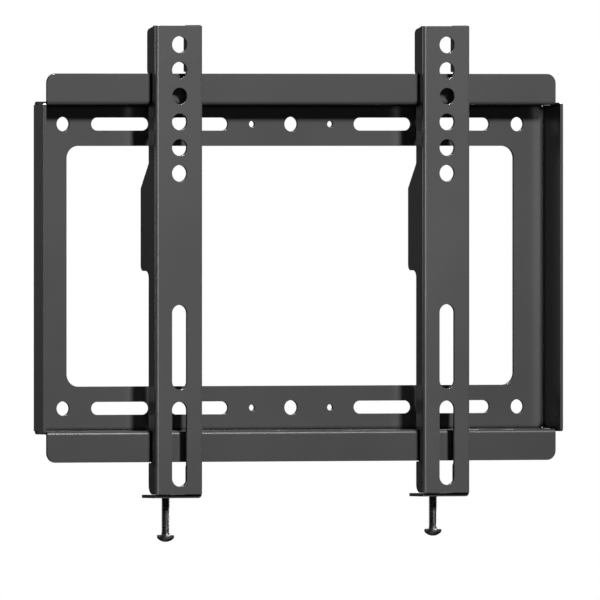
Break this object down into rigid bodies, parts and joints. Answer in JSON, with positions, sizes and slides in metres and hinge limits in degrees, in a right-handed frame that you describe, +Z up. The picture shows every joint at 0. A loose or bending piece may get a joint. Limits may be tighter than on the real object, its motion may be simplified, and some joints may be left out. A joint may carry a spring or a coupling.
{
  "type": "fixed tv wall bracket",
  "caption": "Slim fixed wall bracket for a flat screen: a folded wall plate with a window, hooked arms that hang on its lips and slide sideways, and a long lock screw under each arm.",
  "frame": {"origin": "middle of the wall plate's hole pattern, on the plane of its back", "axes": "+Y into the wall, +X to the right as seen from the front, +Z up"},
  "size_m": [0.27, 0.0192, 0.2409],
  "materials": {
    "black_coat": "satin black powder coat",
    "black_zinc": "black zinc plate"
  },
  "bodies": {
    "plate": {"wall_plate": "black_coat"},
    "arm_left": {"left_arm": "black_coat"},
    "arm_right": {"right_arm": "black_coat"},
    "screw_left": {"left_lock_screw": "black_zinc"},
    "screw_right": {"right_lock_screw": "black_zinc"}
  },
  "joints": [
    {"name": "left_arm_slide", "type": "slide", "parent": "plate", "child": "arm_left", "axis": [1, 0, 0], "range_m": [-0.0515, 0.0538]},
    {"name": "right_arm_slide", "type": "slide", "parent": "plate", "child": "arm_right", "axis": [1, 0, 0], "range_m": [-0.0601, 0.0452]},
    {"name": "left_screw_travel", "type": "slide", "parent": "arm_left", "child": "screw_left", "axis": [0, 0, 1], "range_m": [-0.01, 0.017]},
    {"name": "right_screw_travel", "type": "slide", "parent": "arm_right", "child": "screw_right", "axis": [0, 0, 1], "range_m": [-0.012, 0.015]}
  ]
}
